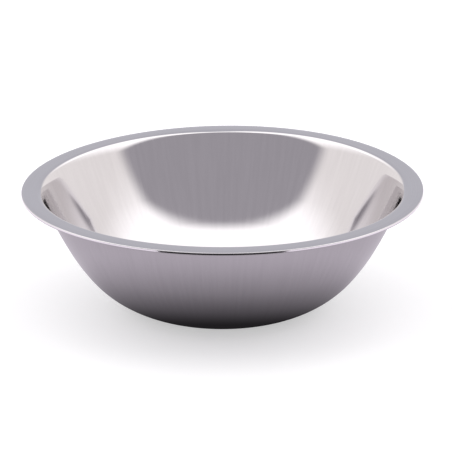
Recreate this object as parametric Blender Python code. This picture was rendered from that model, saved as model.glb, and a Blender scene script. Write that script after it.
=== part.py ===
"""Stainless-steel mixing bowl, drawn from one round blank of sheet.

Metres, +Z up. The origin is the middle of the flat base, on the surface that the bowl stands on.
The sheet's middle line is followed outwards from the axis, as straight runs and arcs, and the two
skins of the sheet lie half its thickness to either side of that line.
"""

import bmesh
import bpy
from math import cos, degrees, pi, radians, sin

# Driving dimensions
RIM_DIAMETER = 0.298  # over the folded edge
SHEET = 0.0006  # thickness of the steel
BASE_RADIUS = 0.0533  # flat disc that the bowl stands on

# The wall, from the base up: (radius of the sheet's middle line, angle it turns upwards)
BASE_CORNER = (0.0326, radians(19.0))
LOWER_WALL = (0.0808, radians(31.6))
MIDDLE_WALL = (0.1478, radians(9.4))
UPPER_WALL = (0.2970, radians(7.9))

# The shoulder, where the wall turns back to level: an easy bend, a crease and an easy bend
WALL_BEND_RADIUS = 0.022
CREASE_RADIUS = 0.0007
CREASE_START = radians(53.0)  # heading of the sheet
CREASE_END = radians(38.0)
FLANGE_BEND_RADIUS = 0.006

# The rim
LEVEL_FLANGE = 0.0050  # width of the level ring
DROOP = radians(10.0)  # the flange bends down this far by its outer edge
EDGE_RADIUS = 0.00035  # the edge is folded down and back in under the flange
EDGE_DEPTH = 0.0009
HEM = 0.0020

# Facets
TURNS = 72  # round the axis
BASE_CORNER_STEPS = 4
WALL_STEPS = 5
SHOULDER_STEPS = 3
FLANGE_BEND_STEPS = 4
DROOP_STEPS = 3
EDGE_STEPS = 3

STEEL_COLOUR = (0.60, 0.59, 0.61, 1.0)
STEEL_ROUGHNESS = 0.22


class SheetLine:
    """The sheet's middle line in the X-Z half plane, with the direction it runs in at each point."""

    def __init__(self):
        self.x, self.z, self.heading = 0.0, 0.0, 0.0
        self.stations = [(self.x, self.z, self.heading)]

    def straight(self, length):
        self.x += length * cos(self.heading)
        self.z += length * sin(self.heading)
        self.stations.append((self.x, self.z, self.heading))

    def bend(self, radius, turn, steps):
        """An arc that turns upwards for a positive turn, and downwards for a negative one."""
        side = 1.0 if turn > 0 else -1.0
        centre_x = self.x - side * radius * sin(self.heading)
        centre_z = self.z + side * radius * cos(self.heading)
        for _ in range(steps):
            self.heading += turn / steps
            self.x = centre_x + side * radius * sin(self.heading)
            self.z = centre_z - side * radius * cos(self.heading)
            self.stations.append((self.x, self.z, self.heading))

    def skin(self, offset):
        """The line moved sideways: a positive offset is the inner, upper skin."""
        return [(x - offset * sin(h), z + offset * cos(h)) for x, z, h in self.stations]


def sheet_line():
    line = SheetLine()
    line.straight(BASE_RADIUS)
    line.bend(*BASE_CORNER, BASE_CORNER_STEPS)
    for arc in (LOWER_WALL, MIDDLE_WALL, UPPER_WALL):
        line.bend(*arc, WALL_STEPS)
    line.bend(WALL_BEND_RADIUS, CREASE_START - line.heading, SHOULDER_STEPS)
    line.bend(CREASE_RADIUS, CREASE_END - line.heading, SHOULDER_STEPS)
    line.bend(FLANGE_BEND_RADIUS, -line.heading, FLANGE_BEND_STEPS)
    line.straight(LEVEL_FLANGE)
    droop_width = RIM_DIAMETER / 2 - SHEET / 2 - EDGE_RADIUS * (1 - sin(DROOP)) - line.x
    line.bend(droop_width / sin(DROOP), -DROOP, DROOP_STEPS)
    line.bend(EDGE_RADIUS, DROOP - pi / 2, EDGE_STEPS)
    line.straight(EDGE_DEPTH)
    line.bend(EDGE_RADIUS, -pi / 2, EDGE_STEPS)
    line.straight(HEM)
    return line


def bowl_profile():
    """Closed section of the sheet: up the inner skin, over the folded edge, and down the outer skin."""
    line = sheet_line()
    inner = line.skin(SHEET / 2)
    outer = line.skin(-SHEET / 2)
    return [(x, z + SHEET / 2) for x, z in inner + outer[::-1]]


def steel():
    material = bpy.data.materials.new("stainless_steel")
    material.use_nodes = True
    shader = material.node_tree.nodes["Principled BSDF"]
    shader.inputs["Base Color"].default_value = STEEL_COLOUR
    shader.inputs["Metallic"].default_value = 1.0
    shader.inputs["Roughness"].default_value = STEEL_ROUGHNESS
    return material


def turned(name, profile, material):
    """A solid of revolution about Z from an outline that starts and ends on the axis."""
    shape = bmesh.new()
    points = [shape.verts.new((x, 0.0, z)) for x, z in profile]
    for first, second in zip(points, points[1:]):
        shape.edges.new((first, second))
    mesh = bpy.data.meshes.new(name)
    shape.to_mesh(mesh)
    shape.free()
    mesh.materials.append(material)
    body = bpy.data.objects.new(name, mesh)
    bpy.context.scene.collection.objects.link(body)
    screw = body.modifiers.new("turn", "SCREW")
    screw.axis = "Z"
    screw.angle = 2 * pi
    screw.steps = TURNS
    screw.render_steps = TURNS
    screw.use_merge_vertices = True
    screw.merge_threshold = 0.0001
    screw.use_smooth_shade = True
    return body


def main():
    for old in list(bpy.data.objects):
        bpy.data.objects.remove(old, do_unlink=True)
    profile = bowl_profile()
    turned("bowl", profile, steel())
    height = max(z for _, z in profile)
    wall = degrees(sum(turn for _, turn in (BASE_CORNER, LOWER_WALL, MIDDLE_WALL, UPPER_WALL)))
    print(f"bowl: {RIM_DIAMETER * 1000:.1f} mm across, {height * 1000:.2f} mm high, wall at {wall:.0f} degrees")


main()
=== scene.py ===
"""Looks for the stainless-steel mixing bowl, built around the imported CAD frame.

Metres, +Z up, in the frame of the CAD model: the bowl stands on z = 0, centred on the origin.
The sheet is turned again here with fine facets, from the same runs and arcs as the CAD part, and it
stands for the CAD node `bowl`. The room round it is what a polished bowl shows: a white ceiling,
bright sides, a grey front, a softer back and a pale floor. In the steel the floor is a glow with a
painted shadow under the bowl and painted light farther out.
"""

from math import cos, pi, radians, sin

import bpy
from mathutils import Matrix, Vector

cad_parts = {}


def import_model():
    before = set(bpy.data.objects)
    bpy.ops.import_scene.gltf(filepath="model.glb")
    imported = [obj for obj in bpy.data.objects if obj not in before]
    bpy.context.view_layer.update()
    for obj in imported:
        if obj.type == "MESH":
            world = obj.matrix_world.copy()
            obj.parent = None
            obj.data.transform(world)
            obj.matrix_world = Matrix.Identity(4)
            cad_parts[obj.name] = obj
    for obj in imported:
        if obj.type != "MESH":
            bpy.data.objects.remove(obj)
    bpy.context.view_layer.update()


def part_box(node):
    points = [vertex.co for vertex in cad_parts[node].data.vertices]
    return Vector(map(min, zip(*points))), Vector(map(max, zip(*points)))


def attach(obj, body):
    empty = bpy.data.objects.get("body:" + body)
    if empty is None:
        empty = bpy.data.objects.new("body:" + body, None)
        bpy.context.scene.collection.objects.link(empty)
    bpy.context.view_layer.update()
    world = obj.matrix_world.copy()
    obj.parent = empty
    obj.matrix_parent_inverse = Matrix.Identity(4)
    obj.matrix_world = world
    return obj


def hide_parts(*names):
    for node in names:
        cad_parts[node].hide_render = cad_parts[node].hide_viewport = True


# The sheet, as in the CAD part: an arc is (radius of the sheet's middle line, angle it turns)
RIM_RADIUS = 0.149
SHEET = 0.0006
BASE_RADIUS = 0.0533
BASE_CORNER = (0.0326, radians(19.0))
LOWER_WALL = (0.0808, radians(31.6))
MIDDLE_WALL = (0.1478, radians(9.4))
UPPER_WALL = (0.2970, radians(7.9))
WALL_BEND_RADIUS = 0.022
CREASE_RADIUS = 0.0007
CREASE_START = radians(53.0)
CREASE_END = radians(38.0)
FLANGE_BEND_RADIUS = 0.006
LEVEL_FLANGE = 0.0050
DROOP = radians(10.0)
EDGE_RADIUS = 0.00035
EDGE_DEPTH = 0.0009
HEM = 0.0020

# The rim of the real bowl is not quite true: it tilts up to the right and waves a little, in metres
TILT_RIGHT = 0.0010
WAVE_COS = 0.00085
WAVE_SIN = 0.00057

# Facets, round the axis and then along each run or arc of the sheet
TURNS = 400
BASE_STEPS = 8
CORNER_STEPS = 8
WALL_STEPS = 16
SHOULDER_STEPS = 8
FLANGE_STEPS = 6
EDGE_STEPS = 5

# Camera: a long lens, a little above the rim
CAMERA_ELEVATION = radians(18.5)
CAMERA_DISTANCE = 20.0  # rim radii, from the middle of the rim
AIM_RIGHT = 0.0179  # rim radii, from the middle of the rim to the point aimed at
AIM_DOWN = 0.1955
SENSOR = 36.0  # mm
LENS = 320.3  # mm
FARTHEST = 100.0  # metres, where the camera's view ends

# Colour and strength of the light from each part of the room, as a polished bowl shows it
GREY_FRONT = (0.476, 0.457, 0.494)  # the open front of the studio, behind the camera
CEILING = (1.76, 1.74, 1.74)
SIDES = (1.15, 1.11, 1.09)
BACK = (0.651, 0.653, 0.707)
SEEN_BY_CAMERA = (1.0, 1.0, 1.0)  # the plain backdrop
FRONT_SPREAD = (2.8, 1.93)  # half width and height of the grey front, over its distance
BACK_SPREAD = (0.36, 6.0)
BACK_LEAN = 0.12  # how far the back's light leans over the top of the bowl
EDGE_FADE = (0.68, 1.27)  # where the soft edge of a light starts and ends
SQUARENESS = 4.0  # exponent of a light's outline: 2 is an ellipse, and more has squarer corners
SIDE_TOP = (0.34, 0.72)  # sine of the elevation where the sides start and finish turning into ceiling
NOT_NOUGHT = 0.001  # the least that a direction is divided by

# The steel: its colour in the grain's hollows and on its ridges, and where it is rubbed
STEEL_LOW = (0.619, 0.599, 0.614)
STEEL_HIGH = (0.643, 0.623, 0.638)
STEEL_WORN = (0.72, 0.70, 0.70)
ROUGHNESS = (0.05, 0.09)  # in the hollows and on the ridges
SMEAR_ROUGHNESS = 0.015  # added by smears
RUBBED_ROUGHNESS = 0.18  # added where the steel is rubbed
RUBBED_SHARE = 0.5  # how far rubbing turns the colour to STEEL_WORN
GRAIN_BUMP = 0.006
GRAIN_DEPTH = 0.0001  # metres

# Where the steel is marked, in rim radii from the axis, with the width of the soft edge last
MARKED_WALL = (0.40, 0.88, 0.05)
STANDING_RING = (0.33, 0.39, 0.03)
RUBBED_RIM = (0.990, 0.999)  # from none to full
RING_HEIGHT = (0.012, 0.002)  # height over the floor, from none to full
NEAR_AXIS = 0.02  # closer to the axis than this, directions fade out

# Marks in the steel: scale of the noise with lengths in rim radii, and its detail
DRAW_MARKS = (38.0, 3.0)
TURNING_LINES = (6.0, 3.0)
SMEARS = (3.2, 2.0)
RUBBING = (26.0, 3.0)
NOISE_ROUGHNESS = 0.55  # share that each finer layer of the noise keeps
DRAW_STRETCH = 0.10  # heights count this much, so that draw marks run up the wall
LINE_STRETCH = (40.0, 0.3)  # radii and directions count this much, so that turning lines run round
GRAIN_SHARE = 0.7  # of the colour's marks; smears make the rest
FULL_MARKS = (0.35, 0.65)  # noise where the colour starts to turn, and has turned
FULL_GRAIN = (0.3, 0.7)
FULL_SMEARS = (0.4, 0.7)

# A dark card in front, seen only in the steel, as the dark line under the rim's edge; in rim radii
CARD_DISTANCE = 1.35
CARD_HALF_WIDTH = 0.60
CARD_TOP = 0.005  # over the rim
CARD_SILL = 0.42  # its lower edge, as a share of the rim's height
CARD_COLOUR = (0.02, 0.02, 0.02, 1.0)
MATT = 0.9  # roughness of the card and the floor

FLOOR_SIZE = 24.0  # metres
FLOOR_COLOUR = (0.62, 0.62, 0.63, 1.0)
FLOOR_SHEEN = 0.1
FLOOR_GLOW = 0.50  # added for the camera only, so that the ground stays pale beside the shadow
# The floor as the steel shows it is a glow seen only in glossy rays: a painted shadow under the bowl, then
# pale, and painted light, brighter, farther out under the lights.
# Each is the radius where it starts, the radius where it is full, both in rim radii, and its light
SHADOW_UNDER_BOWL = (0.31, 1.03, 0.60)
LIT_FLOOR = (1.75, 2.5, 0.75)
SHADOW_AHEAD = 0.168  # the painted shadow's middle lies in front of the bowl by this many rim radii
# the least glow of the painted floor in the steel, at the heart of its painted shadow, and then the painted
# glow's colour
DARKEST_SHADE = 0.018
PAINTED_FLOOR_TINT = (1.0, 0.93, 1.035, 1.0)


class SheetLine:
    """The sheet's middle line in the X-Z half plane, with the direction it runs in at each point."""

    def __init__(self):
        self.x, self.z, self.heading = 0.0, 0.0, 0.0
        self.stations = [(self.x, self.z, self.heading)]

    def straight(self, length, steps):
        for _ in range(steps):
            self.x += length / steps * cos(self.heading)
            self.z += length / steps * sin(self.heading)
            self.stations.append((self.x, self.z, self.heading))

    def bend(self, radius, turn, steps):
        """An arc that turns upwards for a positive turn, and downwards for a negative one."""
        side = 1.0 if turn > 0 else -1.0
        centre_x = self.x - side * radius * sin(self.heading)
        centre_z = self.z + side * radius * cos(self.heading)
        for _ in range(steps):
            self.heading += turn / steps
            self.x = centre_x + side * radius * sin(self.heading)
            self.z = centre_z - side * radius * cos(self.heading)
            self.stations.append((self.x, self.z, self.heading))

    def skin(self, offset):
        """The line moved sideways: a positive offset is the inner, upper skin."""
        return [(x - offset * sin(h), z + offset * cos(h)) for x, z, h in self.stations]


def sheet_profile():
    """Closed section of the sheet, up the inner skin, over the folded edge and down the outer skin."""
    line = SheetLine()
    line.straight(BASE_RADIUS, BASE_STEPS)
    line.bend(*BASE_CORNER, CORNER_STEPS)
    for arc in (LOWER_WALL, MIDDLE_WALL, UPPER_WALL):
        line.bend(*arc, WALL_STEPS)
    line.bend(WALL_BEND_RADIUS, CREASE_START - line.heading, SHOULDER_STEPS)
    line.bend(CREASE_RADIUS, CREASE_END - line.heading, SHOULDER_STEPS)
    line.bend(FLANGE_BEND_RADIUS, -line.heading, SHOULDER_STEPS)
    line.straight(LEVEL_FLANGE, FLANGE_STEPS)
    droop_width = RIM_RADIUS - SHEET / 2 - EDGE_RADIUS * (1 - sin(DROOP)) - line.x
    line.bend(droop_width / sin(DROOP), -DROOP, FLANGE_STEPS)
    line.bend(EDGE_RADIUS, DROOP - pi / 2, EDGE_STEPS)
    line.straight(EDGE_DEPTH, 2)
    line.bend(EDGE_RADIUS, -pi / 2, EDGE_STEPS)
    line.straight(HEM, 2)
    outline = line.skin(SHEET / 2) + line.skin(-SHEET / 2)[::-1]
    return [(x, z + SHEET / 2) for x, z in outline]


def lift(angle, share):
    """How far the rim's slight warp moves the sheet up, at this share of the bowl's height."""
    wave = WAVE_SIN * sin(2 * angle) - WAVE_COS * cos(2 * angle)
    return share**2 * (TILT_RIGHT * cos(angle) + wave)


def turned(name, profile):
    """A closed mesh turned about Z from an outline whose first and last points are on the axis."""
    ring_profile = profile[1:-1]
    top = max(z for _, z in profile)
    angles = [2 * pi * turn / TURNS for turn in range(TURNS)]
    verts = [(0.0, 0.0, profile[0][1]), (0.0, 0.0, profile[-1][1])]
    for x, z in ring_profile:
        verts += [(x * cos(a), x * sin(a), z + lift(a, z / top)) for a in angles]
    faces = []
    last = 2 + (len(ring_profile) - 1) * TURNS
    for turn in range(TURNS):
        following = (turn + 1) % TURNS
        faces.append((0, 2 + turn, 2 + following))
        for row in range(len(ring_profile) - 1):
            low, high = 2 + row * TURNS, 2 + (row + 1) * TURNS
            faces.append((low + turn, high + turn, high + following, low + following))
        faces.append((1, last + following, last + turn))
    mesh = bpy.data.meshes.new(name)
    mesh.from_pydata(verts, [], faces)
    mesh.validate()
    mesh.shade_smooth()
    body = bpy.data.objects.new(name, mesh)
    bpy.context.scene.collection.objects.link(body)
    return body


class Nodes:
    """Short calls for building a node tree."""

    def __init__(self, tree):
        self.tree = tree

    def add(self, kind, inputs=(), **settings):
        node = self.tree.nodes.new(kind)
        for key, value in settings.items():
            setattr(node, key, value)
        for key, value in dict(inputs).items():
            self.put(node.inputs[key], value)
        return node

    def put(self, socket, value):
        if isinstance(value, bpy.types.NodeSocket):
            self.tree.links.new(value, socket)
        else:
            socket.default_value = value

    def math(self, operation, *values):
        node = self.tree.nodes.new("ShaderNodeMath")
        node.operation = operation
        for socket, value in zip(node.inputs, values):
            self.put(socket, value)
        return node.outputs[0]

    def step(self, value, start, end, low=0.0, high=1.0):
        """Goes smoothly from low to high while value goes from start to end."""
        inputs = {"Value": value, "From Min": start, "From Max": end, "To Min": low, "To Max": high}
        node = self.add("ShaderNodeMapRange", inputs, interpolation_type="SMOOTHSTEP")
        return node.outputs["Result"]

    def band(self, value, start, end, soft):
        """1 while value is between start and end, and 0 outside, with edges as wide as soft."""
        rise = self.step(value, start - soft, start)
        fall = self.step(value, end, end + soft)
        return self.math("SUBTRACT", rise, fall)

    def tint(self, share, low, high):
        """The colour low where share is 0, and high where it is 1."""
        node = self.tree.nodes.new("ShaderNodeMix")
        node.data_type = "RGBA"
        factor_and_colours = node.inputs[:1] + node.inputs[6:8]
        for socket, value in zip(factor_and_colours, (share, low, high)):
            self.put(socket, (*value, 1.0) if isinstance(value, tuple) else value)
        return node.outputs[2]

    def noise(self, vector, scale, detail):
        inputs = {"Vector": vector, "Scale": scale, "Detail": detail, "Roughness": NOISE_ROUGHNESS}
        return self.add("ShaderNodeTexNoise", inputs).outputs["Fac"]

    def vector(self, x, y, z):
        return self.add("ShaderNodeCombineXYZ", {"X": x, "Y": y, "Z": z}).outputs[0]

    def weighted(self, first, first_share, second, second_share):
        """The two values added up by their shares."""
        terms = (self.math("MULTIPLY", *term) for term in ((first, first_share), (second, second_share)))
        return self.math("ADD", *terms)


def new_material(name):
    """A material, the calls that build its node tree, and its shader."""
    material = bpy.data.materials.new(name)
    material.use_nodes = True
    return material, Nodes(material.node_tree), material.node_tree.nodes["Principled BSDF"]


def steel(rim_radius):
    """Polished steel: draw marks up the wall, turning lines on the flange and base, wear on the edges."""
    material, nodes, shader = new_material("stainless_steel")
    place = nodes.add("ShaderNodeTexCoord").outputs["Object"]
    x, y, z = nodes.add("ShaderNodeSeparateXYZ", {"Vector": place}).outputs
    x, y, z = (nodes.math("DIVIDE", value, rim_radius) for value in (x, y, z))
    everywhere = nodes.vector(x, y, z)
    squares = (nodes.math("POWER", value, 2.0) for value in (x, y))
    radius = nodes.math("SQRT", nodes.math("ADD", *squares))
    safe_radius = nodes.math("MAXIMUM", radius, NEAR_AXIS)
    across, along = (nodes.math("DIVIDE", value, safe_radius) for value in (x, y))

    wall = nodes.band(radius, *MARKED_WALL)
    elsewhere = nodes.math("SUBTRACT", 1.0, wall)
    draw_place = nodes.vector(across, along, nodes.math("MULTIPLY", z, DRAW_STRETCH))
    draw_marks = nodes.noise(draw_place, *DRAW_MARKS)
    line_place = (nodes.math("MULTIPLY", value, size) for value, size in zip((radius, across), LINE_STRETCH))
    turning_lines = nodes.noise(nodes.vector(*line_place, 0.0), *TURNING_LINES)
    grain = nodes.weighted(draw_marks, wall, turning_lines, elsewhere)
    smears = nodes.noise(everywhere, *SMEARS)

    low_ring = nodes.math("MULTIPLY", nodes.band(radius, *STANDING_RING), nodes.step(z, *RING_HEIGHT))
    handled = nodes.math("MAXIMUM", nodes.step(radius, *RUBBED_RIM), low_ring)
    rubbed = nodes.math("MULTIPLY", nodes.noise(everywhere, *RUBBING), handled)

    marked = nodes.step(nodes.weighted(grain, GRAIN_SHARE, smears, 1.0 - GRAIN_SHARE), *FULL_MARKS)
    colour = nodes.tint(marked, STEEL_LOW, STEEL_HIGH)
    colour = nodes.tint(nodes.math("MULTIPLY", rubbed, RUBBED_SHARE), colour, STEEL_WORN)
    roughness = nodes.step(grain, *FULL_GRAIN, *ROUGHNESS)
    roughness = nodes.math("ADD", roughness, nodes.math("MULTIPLY", rubbed, RUBBED_ROUGHNESS))
    roughness = nodes.math("ADD", roughness, nodes.step(smears, *FULL_SMEARS, 0.0, SMEAR_ROUGHNESS))
    bump = nodes.add("ShaderNodeBump", {"Height": grain, "Strength": GRAIN_BUMP, "Distance": GRAIN_DEPTH})

    nodes.put(shader.inputs["Metallic"], 1.0)
    nodes.put(shader.inputs["Base Color"], colour)
    nodes.put(shader.inputs["Roughness"], roughness)
    nodes.put(shader.inputs["Normal"], bump.outputs["Normal"])
    return material


def rounded_window(nodes, ahead, x, z, spread):
    """1 inside a window straight ahead of the bowl and 0 outside it, with rounded corners and soft edges."""
    terms = [
        nodes.math("POWER", nodes.math("ABSOLUTE", nodes.math("DIVIDE", value, size)), SQUARENESS)
        for value, size in zip((x, z), spread)
    ]
    reach = nodes.math("POWER", nodes.math("ADD", *terms), 1 / SQUARENESS)
    reach = nodes.math("MAXIMUM", reach, NOT_NOUGHT)
    nearness = nodes.math("DIVIDE", nodes.math("MAXIMUM", ahead, 0.0), reach)
    return nodes.step(nearness, *EDGE_FADE)


def room_light():
    """Light from every direction: white ceiling, bright sides, grey front and softer back."""
    world = bpy.data.worlds.new("room")
    bpy.context.scene.world = world
    world.use_nodes = True
    tree = world.node_tree
    nodes = Nodes(tree)
    direction = nodes.add("ShaderNodeTexCoord").outputs["Generated"]
    x, y, z = nodes.add("ShaderNodeSeparateXYZ", {"Vector": direction}).outputs
    light = nodes.tint(nodes.step(z, *SIDE_TOP), SIDES, CEILING)
    behind = nodes.math("ADD", y, nodes.math("MULTIPLY", z, BACK_LEAN))
    light = nodes.tint(rounded_window(nodes, behind, x, z, BACK_SPREAD), light, BACK)
    front = rounded_window(nodes, nodes.math("MULTIPLY", y, -1.0), x, z, FRONT_SPREAD)
    light = nodes.tint(front, light, GREY_FRONT)
    camera_ray = nodes.add("ShaderNodeLightPath").outputs["Is Camera Ray"]
    shown = nodes.tint(camera_ray, light, SEEN_BY_CAMERA)
    nodes.put(tree.nodes["Background"].inputs["Color"], shown)


def staged_card(name, corners, material):
    """One flat face with four corners, which is part of the room and not of the bowl."""
    mesh = bpy.data.meshes.new(name)
    mesh.from_pydata(corners, [], [(0, 1, 2, 3)])
    mesh.materials.append(material)
    card = bpy.data.objects.new(name, mesh)
    bpy.context.scene.collection.objects.link(card)
    return card


def pale_floor_with_painted_shade(rim_radius):
    """A pale floor for the camera; the steel sees a glow instead, painted with a shadow under the bowl and
    with light farther out.
    """
    material, nodes, shader = new_material("pale_floor_with_painted_shade")
    shader.inputs["Base Color"].default_value = FLOOR_COLOUR
    shader.inputs["Roughness"].default_value = MATT
    shader.inputs["Specular IOR Level"].default_value = FLOOR_SHEEN
    shader.inputs["Emission Color"].default_value = (1.0, 1.0, 1.0, 1.0)
    rays = nodes.add("ShaderNodeLightPath").outputs
    nodes.put(shader.inputs["Emission Strength"], nodes.math("MULTIPLY", rays["Is Camera Ray"], FLOOR_GLOW))

    # Glossy rays see an emission instead of the floor: a painted shadow under and ahead of the bowl, and
    # painted light farther out
    place = nodes.add("ShaderNodeTexCoord").outputs["Object"]
    shadow_middle = (0.0, -SHADOW_AHEAD * rim_radius, 0.0)
    offset = nodes.add("ShaderNodeVectorMath", {0: place, 1: shadow_middle}, operation="SUBTRACT")
    distance = nodes.add("ShaderNodeVectorMath", {0: offset.outputs["Vector"]}, operation="LENGTH")
    reach = nodes.math("DIVIDE", distance.outputs["Value"], rim_radius)
    near, lit = (nodes.step(reach, start, end, 0.0, light) for start, end, light in (SHADOW_UNDER_BOWL, LIT_FLOOR))
    strength = nodes.math("ADD", nodes.math("ADD", near, lit), DARKEST_SHADE)
    shown = nodes.add("ShaderNodeEmission", {"Color": PAINTED_FLOOR_TINT, "Strength": strength})
    choice = {"Fac": rays["Is Glossy Ray"], 1: shader.outputs[0], 2: shown.outputs[0]}
    mix = nodes.add("ShaderNodeMixShader", choice)
    nodes.put(nodes.tree.nodes["Material Output"].inputs["Surface"], mix.outputs[0])

    half = FLOOR_SIZE / 2
    corners = [(-half, -half, 0.0), (half, -half, 0.0), (half, half, 0.0), (-half, half, 0.0)]
    staged_card("floor", corners, material)


def dark_front(rim_radius, rim_height):
    """The dark part of the room straight ahead of the bowl, seen only as a reflection in the steel."""
    material, _, shader = new_material("dark_front")
    shader.inputs["Base Color"].default_value = CARD_COLOUR
    shader.inputs["Roughness"].default_value = MATT

    half, ahead = CARD_HALF_WIDTH * rim_radius, -CARD_DISTANCE * rim_radius
    bottom, top = CARD_SILL * rim_height, CARD_TOP * rim_radius + rim_height
    corners = [(-half, ahead, bottom), (half, ahead, bottom), (half, ahead, top), (-half, ahead, top)]
    card = staged_card("dark_front", corners, material)
    card.visible_camera = False
    card.visible_diffuse = False
    card.visible_shadow = False


def camera(rim_radius, rim_height):
    """A long lens in front of the bowl, turned from the middle of the rim to the point aimed at."""
    back = Vector((0.0, -cos(CAMERA_ELEVATION), sin(CAMERA_ELEVATION)))
    right = Vector((1.0, 0.0, 0.0))
    up = right.cross(-back)
    middle = Vector((0.0, 0.0, rim_height))
    place = middle + back * CAMERA_DISTANCE * rim_radius
    aim = middle + right * AIM_RIGHT * rim_radius - up * AIM_DOWN * rim_radius
    data = bpy.data.cameras.new("camera")
    data.sensor_width = SENSOR
    data.lens = LENS
    data.clip_end = FARTHEST
    seat = bpy.data.objects.new("camera", data)
    seat.location = place
    seat.rotation_euler = (aim - place).to_track_quat("-Z", "Y").to_euler()
    bpy.context.scene.collection.objects.link(seat)
    bpy.context.scene.camera = seat


def main():
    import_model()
    low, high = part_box("bowl")
    rim_radius = (high.x - low.x) / 2
    rim_height = high.z

    scale = rim_radius / RIM_RADIUS
    profile = [(x * scale, z * scale) for x, z in sheet_profile()]
    bowl = turned("steel_bowl", profile)
    bowl.data.materials.append(steel(rim_radius))
    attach(bowl, "root")
    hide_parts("bowl")

    camera(rim_radius, rim_height)
    pale_floor_with_painted_shade(rim_radius)
    dark_front(rim_radius, rim_height)
    room_light()
    bpy.context.scene.view_settings.view_transform = "Standard"


main()
